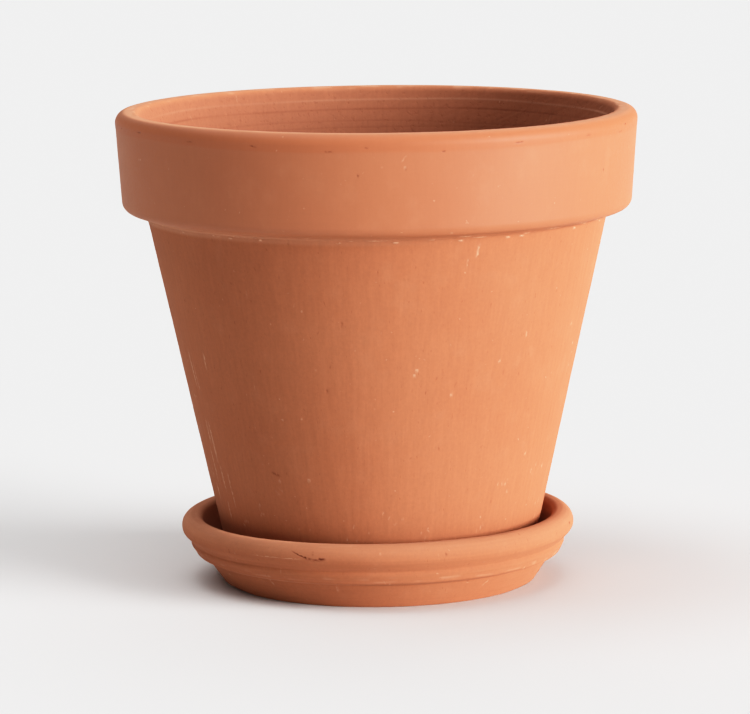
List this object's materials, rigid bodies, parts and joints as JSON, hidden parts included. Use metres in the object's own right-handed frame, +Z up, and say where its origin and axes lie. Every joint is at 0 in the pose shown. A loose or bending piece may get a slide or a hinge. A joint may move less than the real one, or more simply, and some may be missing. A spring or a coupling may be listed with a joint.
{
  "type": "terracotta flower pot with saucer",
  "caption": "Flared round terracotta flower pot with a thick collar rim and a drain hole, standing in a matching saucer with a rolled rim; the pot lifts out of the saucer.",
  "frame": {"origin": "middle of the saucer's flat underside, on the ground", "axes": "+Z up along the common axis of the pot and the saucer; both pieces are round, so X and Y are any two level directions"},
  "size_m": [0.2392, 0.2392, 0.2183],
  "materials": {
    "pot_clay": "matte",
    "saucer_clay": "matte"
  },
  "bodies": {
    "saucer": {"saucer": "saucer_clay"},
    "pot": {"pot": "pot_clay"}
  },
  "joints": [
    {"name": "pot_lift", "type": "slide", "parent": "saucer", "child": "pot", "axis": [0, 0, 1], "range_m": [0, 0.06]}
  ]
}
